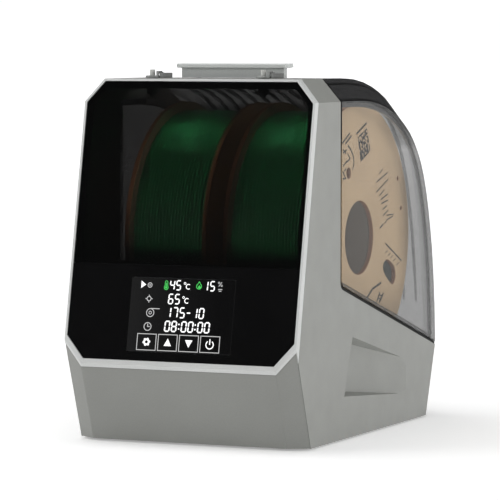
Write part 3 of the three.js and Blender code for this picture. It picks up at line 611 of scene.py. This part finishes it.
def flange(name, cx, body, node):
    holes = [disc(0, 0, 27.5, 96)]
    corners = [(46.4, -23.9), (53.6, -19.2), (62.0, -21.0), (72.5, -26.8), (73.6, -35.5), (67.3, -40.1), (60.2, -36.7), (49.8, -29.9)]
    slot, m = [], len(corners)
    for i in range(m):
        # the corners rounded by a quadratic arc
        p, q, r = (Vector(corners[(i + k) % m]) for k in (-1, 0, 1))
        a, c = q.lerp(p, 0.42), q.lerp(r, 0.42)
        for j in range(6):
            t = j / 5.0
            slot.append(tuple(a * (1 - t) ** 2 + q * 2 * t * (1 - t) + c * t * t))
    holes.append(slot)
    for y, z, r in ((143.1, 190.2, 4.2), (240.7, 182.5, 1.7), (247.8, 159.5, 1.7)):
        holes.append(disc(y - SY, z - SZ, r, 20))
    # local u -> row Y, v -> row Z, thickness -> X
    c = P(cx, SY, SZ)
    to = Matrix(((0, 0, 1, c.x), (1, 0, 0, c.y), (0, 1, 0, c.z), (0, 0, 0, 1)))
    return curve_plate(name, disc(0, 0, 100, 180), holes, 3.5, 0.35, to, M["card"], body, (node,))

def winding_profile():
    """turns of filament side by side, round on the outside"""
    d = 58.4 / 24.0
    pts = [(40.3, -29.2)]
    for i in range(24):
        c = -29.2 + d * (i + 0.5)
        for a in (-84, -45, 0, 45, 84):
            pts.append((92.29 + 1.2 * math.cos(math.radians(a)), c + 1.2 * math.sin(math.radians(a))))
    pts.append((40.3, 29.2))
    return pts
WP = winding_profile()

def on_flange(x_sign, cx):
    def place(u, v, w):
        return P(cx + x_sign * (0.10 - w), SY + u, SZ + v)
    return place

for side, sx in (("left", -1), ("right", 1)):
    body = "spool_" + side
    cx = sx * SX
    flange("spool_%s_flange_outer_fine" % side, cx + sx * 31.25, body, "spool_%s_flange_outer" % side)
    flange("spool_%s_flange_inner_fine" % side, cx - sx * 31.25, body, "spool_%s_flange_inner" % side)
    lathe("spool_%s_core_fine" % side, [(27.5, -29.0), (27.9, -29.2), (40, -29.2), (40, 29.2), (27.9, 29.2), (27.5, 29.0), (27.5, 9.7), (27.35, 9.4), (27.5, 9.1), (27.5, -9.1), (27.35, -9.4), (27.5, -9.7)],
          96, (cx, SY, SZ), M["core"], body, ("spool_%s_core" % side,))
    lathe("spool_%s_filament_fine" % side, WP, 192, (cx, SY, SZ), M["filament"], body, ("spool_%s_filament" % side,), 75)
    # printing on the outer card face
    marks = []
    for x0, y0, x1, y1, w in STROKES:
        p, q = Vector((x0, y0)), Vector((x1, y1))
        h = (q - p).normalized() * (w * 0.62)
        h = Vector((-h.y, h.x))
        marks.append([tuple(p - h), tuple(q - h), tuple(q + h), tuple(p + h)])
    # block of random squares
    rng = random.Random(11)
    c00, c10, c11, c01 = (Vector(p) for p in ((-3.6, 75.1), (14.6, 81.2), (21.5, 63.9), (2.6, 56.4)))
    n = 13
    def blk(i, j):
        u, v = i / n, j / n
        return tuple(c00.lerp(c10, u).lerp(c01.lerp(c11, u), v))
    for i in range(n):
        for j in range(n):
            if rng.random() < 0.6 or (i in (0, n - 1) or j in (0, n - 1)) and rng.random() < 0.75:
                marks.append([blk(i, j), blk(i + 1, j), blk(i + 1, j + 1), blk(i, j + 1)])
    pts = [Vector(p) for p in ((-22.6, 69.1), (-19.2, 67.6), (-16.2, 65.5), (-13.6, 63.0), (-11.8, 60.2), (-11.0, 58.3), (-10.8, 56.4), (-11.6, 53.8), (-13.3, 51.2))]
    for p, q in zip(pts, pts[1:]):
        h = (q - p).normalized() * 0.75
        h = Vector((-h.y, h.x))
        marks.append([tuple(p - h), tuple(q - h), tuple(q + h), tuple(p + h)])
    plates("spool_%s_print" % side, marks, on_flange(sx, cx + sx * 33.0), 0.08, M["print"], body)

# ---------------------------------------------------------------- display
def seg_polys(x, s, w, h, on, t=None, slant=0.06):
    """seven-segment figure with its lower left corner at (x, s)"""
    t = t or w * 0.23
    g = t * 0.10
    hh = h / 2.0
    def hor(y):
        return [(g + t * 0.5, y), (g + t, y + t / 2), (w - g - t, y + t / 2), (w - g - t * 0.5, y), (w - g - t, y - t / 2), (g + t, y - t / 2)]
    def ver(xc, y0, y1):
        return [(xc, y0), (xc + t / 2, y0 + t / 2), (xc + t / 2, y1 - t / 2), (xc, y1), (xc - t / 2, y1 - t / 2), (xc - t / 2, y0 + t / 2)]
    seg = {"a": hor(h - t / 2), "g": hor(hh), "d": hor(t / 2),
           "f": ver(t / 2, hh + g, h - t / 2 - g), "b": ver(w - t / 2, hh + g, h - t / 2 - g),
           "e": ver(t / 2, t / 2 + g, hh - g), "c": ver(w - t / 2, t / 2 + g, hh - g)}
    return [[(x + u + v * slant, s + v) for u, v in seg[k]] for k in on]
DIG = {"0": "abcdef", "1": "bc", "2": "abged", "3": "abgcd", "4": "fgbc", "5": "afgcd", "6": "afgedc", "7": "abc", "8": "abcdefg", "9": "abcdfg", "-": "g"}

white, soft, green = [], [], []
# temperature now
for ch, x in (("4", -10.9), ("5", -6.0)):
    white += seg_polys(x, 54.7, 4.1, 7.5, DIG[ch])
for ch, x in (("1", 15.3), ("5", 20.6)):
    white += seg_polys(x, 54.9, 4.0, 7.5, DIG[ch])
# set temperature
for ch, x in (("6", -11.3), ("5", -6.2)):
    white += seg_polys(x, 44.7, 4.2, 7.7, DIG[ch])
# filament size
for ch, x in zip("175-10", (-12.4, -7.0, -1.6, 3.4, 8.2, 13.5)):
    white += seg_polys(x, 34.9, 4.3, 8.0, DIG[ch])
# time left
for ch, x in zip("080000", (-12.6, -7.3, 0.4, 5.7, 13.2, 18.5)):
    white += seg_polys(x, 24.9, 4.5, 8.1, DIG[ch])
for x in (-1.0, 11.8):
    for s in (27.3, 30.6):
        white.append(disc(x, s, 0.62, 10))
# degree signs
for x, s in ((0.6, 55.4), (0.3, 45.3)):
    white += arc(x + 0.6, s + 4.6, 0.45, 0.95, 0, 360, 12)
    white += arc(x + 3.4, s + 2.3, 1.35, 2.05, 50, 310, 14)
# percent sign
soft += arc(27.7, 61.2, 0.4, 0.8, 0, 360, 10) + arc(29.9, 59.2, 0.4, 0.8, 0, 360, 10)
soft.append([(27.4, 58.7), (27.9, 58.5), (30.1, 61.6), (29.7, 61.9)])
soft += [rect(27.3, 30.6, 56.2, 56.8), rect(27.9, 30.0, 55.0, 55.6)]
# play mark, row marks in place of words
white.append([(-33.2, 55.6), (-29.4, 58.3), (-33.2, 61.0)])
soft += arc(-26.3, 58.0, 1.3, 1.9, 0, 360, 16) + [disc(-26.3, 58.0, 0.6, 10)]
soft += arc(-26.2, 48.2, 1.3, 1.9, 0, 360, 16) + [rect(-26.5, -25.9, 45.4, 46.6), rect(-26.5, -25.9, 49.8, 51.0), rect(-29.0, -27.8, 47.9, 48.5), rect(-24.6, -23.4, 47.9, 48.5)]
soft += arc(-24.4, 38.2, 2.6, 3.2, 0, 360, 20) + arc(-24.4, 38.2, 0.8, 1.3, 0, 360, 14) + [rect(-24.4, -17.2, 40.9, 41.5)]
soft += arc(-25.6, 28.2, 2.5, 3.1, 0, 360, 20) + [rect(-25.9, -25.3, 28.0, 30.3), rect(-25.6, -23.9, 27.9, 28.5)]
# thermometer
green += arc(-13.4, 60.4, 0.75, 1.25, 0, 180, 10) + [rect(-14.65, -14.15, 57.4, 60.4), rect(-12.65, -12.15, 57.4, 60.4)]
green += arc(-13.4, 56.6, 1.25, 1.8, 120, 420, 14) + [disc(-13.4, 56.6, 0.85, 12), rect(-13.75, -13.05, 57.0, 60.0)]
# drop
drop = []
for i in range(24):
    a = 2 * math.pi * i / 24
    drop.append((math.sin(a) * 2.2, -math.cos(a) * 2.2 + (1.5 if abs(a - math.pi) < 0.2 else 0.9 if abs(a - math.pi) < 0.45 else 0)))
for i in range(24):
    a, b = drop[i], drop[(i + 1) % 24]
    green.append([(12.3 + a[0], 58.2 + a[1]), (12.3 + b[0], 58.2 + b[1]), (12.3 + b[0] * 0.74, 58.2 + b[1] * 0.74), (12.3 + a[0] * 0.74, 58.2 + a[1] * 0.74)])
green.append([(12.3 + u * 0.5 + 0.3, 57.6 + v * 0.42) for u, v in drop])
# four keys
kx = [-33.2 + 16.6 * i for i in range(4)]
for x in kx:
    soft += outline(x, x + 15.4, 11.1, 23.2, 0.55)
c = (kx[0] + 7.7, 17.2)
for i in range(24):
    def rr(k):
        return 3.05 if (k // 2) % 2 == 0 else 2.45
    a0, a1 = (2 * math.pi * (i + q) / 24 for q in (0, 1))
    r0, r1 = rr(i), rr(i + 1)
    white.append([(c[0] + 1.15 * math.cos(a0), c[1] + 1.15 * math.sin(a0)), (c[0] + r0 * math.cos(a0), c[1] + r0 * math.sin(a0)),
                  (c[0] + r1 * math.cos(a1), c[1] + r1 * math.sin(a1)), (c[0] + 1.15 * math.cos(a1), c[1] + 1.15 * math.sin(a1))])
x = kx[1] + 7.8
white.append([(x - 2.9, 14.8), (x + 2.9, 14.8), (x, 20.2)])
x = kx[2] + 7.7
white.append([(x - 2.9, 19.6), (x, 14.2), (x + 2.9, 19.6)])
x = kx[3] + 7.6
white += arc(x, 16.9, 2.5, 3.25, 125, 415, 22) + [rect(x - 0.4, x + 0.4, 17.0, 20.9)]
def on_face(u, v, w):
    return FACE(u, v, 0.22 + w)
plates("display_figures", white, on_face, 0.06, M["lit"], "case")
plates("display_marks", soft, on_face, 0.06, M["lit_soft"], "case")
plates("display_signs", green, on_face, 0.06, M["lit_green"], "case")

# ---------------------------------------------------------------- floor and light
me = bpy.data.meshes.new("floor")
me.from_pydata([(-30, -30, 0), (30, -30, 0), (30, 30, 0), (-30, 30, 0)], [], [(0, 1, 2, 3)])
floor = bpy.data.objects.new("floor", me)
scene.collection.objects.link(floor)
fm, nt, bs, v = new_mat("floor_pale")
nt.links.new(ramp(nt, noise(nt, v, 3.0), [(0.3, (0.88, 0.88, 0.88)), (0.7, (0.90, 0.90, 0.90))]), bs.inputs["Base Color"])
bs.inputs["Roughness"].default_value = 0.9
bs.inputs["Specular IOR Level"].default_value = 0.1
bs.inputs["Emission Color"].default_value = (1, 1, 1, 1)
far = nt.nodes.new("ShaderNodeVectorMath")
far.operation = "LENGTH"
nt.links.new(v, far.inputs[0])
nt.links.new(maprange(nt, far.outputs["Value"], 0.4, 5.0, 0.33, 1.0), bs.inputs["Emission Strength"])
me.materials.append(fm)

world = bpy.data.worlds.new("studio")
scene.world = world
world.use_nodes = True
nt = world.node_tree
nt.nodes.clear()
wo = nt.nodes.new("ShaderNodeOutputWorld")
bg = nt.nodes.new("ShaderNodeBackground")
bg.inputs["Strength"].default_value = 1.0
nt.links.new(bg.outputs[0], wo.inputs[0])
tc = nt.nodes.new("ShaderNodeTexCoord")
def toward(d, a0, a1):
    """0 away from direction d, 1 near it"""
    dot = nt.nodes.new("ShaderNodeVectorMath")
    dot.operation = "DOT_PRODUCT"
    nt.links.new(tc.outputs["Generated"], dot.inputs[0])
    dot.inputs[1].default_value = Vector(d).normalized()
    m = maprange(nt, dot.outputs["Value"], a0, a1, 0.0, 1.0)
    return m
sep = nt.nodes.new("ShaderNodeSeparateXYZ")
nt.links.new(tc.outputs["Generated"], sep.inputs[0])
low = maprange(nt, maths(nt, "ABSOLUTE", sep.outputs["Z"]), 0.02, 0.05, 1.0, 0.0)
ahead = toward((-0.41, -0.87, 0.285), 0.70, 0.86)
behind = toward((-0.38, 0.85, 0.35), 0.60, 0.85)
col = mixc(nt, maths(nt, "MAXIMUM", ahead, behind, True), (0.42, 0.42, 0.42), (0.03, 0.03, 0.03))
col = mixc(nt, low, col, (1.02, 1.02, 1.02))
nt.links.new(col, bg.inputs["Color"])

def area(name, loc, target, size, power, size_y=None, hidden=False, spread=180):
    ld = bpy.data.lights.new(name, "AREA")
    ld.energy = power
    ld.shape = "RECTANGLE"
    ld.size = size
    ld.size_y = size_y or size
    ld.spread = math.radians(spread)
    ob = bpy.data.objects.new(name, ld)
    scene.collection.objects.link(ob)
    ob.location = loc
    d = Vector(target) - Vector(loc)
    ob.rotation_euler = d.to_track_quat("-Z", "Y").to_euler()
    if hidden:
        ob.visible_camera = False
        ob.visible_glossy = False
    return ob
MID = (0, 0, 0.13)
area("top", (-0.8, 0.0, 3.0), MID, 3.0, 56)
area("left_front", (-2.6, -1.9, 1.0), MID, 1.2, 24)
area("right", (3.1, 0.4, 0.55), MID, 1.3, 24)
area("front_fill", (1.3, -2.6, 2.0), MID, 1.0, 5)
# soft light inside the chamber: on the windings, on the underside of the roof, on the card faces
windings, cards, lid_parts = (bpy.data.collections.new(n) for n in ("windings", "cards", "lid_parts"))
for ob in scene.objects:
    if ob.name.endswith("_filament_fine"):
        windings.objects.link(ob)
    elif "_flange_" in ob.name and ob.name.endswith("_fine"):
        cards.objects.link(ob)
    elif ob.name in ("lid_shell_fine", "lid_ribs"):
        lid_parts.objects.link(ob)
for sx in (-1, 1):
    area("wind_%d" % sx, P(sx * 40, 57, 192), P(sx * 40, 150, 177), 0.056, 0.10, 0.105, True, 50)
    area("card_%d" % sx, P(sx * 83, 165, 170), P(0, 165, 165), 0.17, 0.040, 0.16, True)
    top = area("wind_top_%d" % sx, P(sx * 40, 80, 250), P(sx * 40, 125, 212), 0.040, 0.085, 0.014, True, 70)
    top.light_linking.receiver_collection = windings
rims = area("rims", P(-48, 48, 205), P(0, 165, 175), 0.07, 0.12, 0.09, True, 130)
rims.light_linking.receiver_collection = cards
chamfer = area("roof_left", P(35, 125, 215), P(-80, 165, 250), 0.06, 0.30, 0.06, True, 100)
chamfer.light_linking.receiver_collection = lid_parts
area("roof_glow", P(0, 165, 247), P(0, 170, 262), 0.176, 0.34, 0.09, True, 130)
area("roof_glow_rear", P(0, 216, 231), P(0, 226, 242), 0.176, 0.06, 0.06, True)
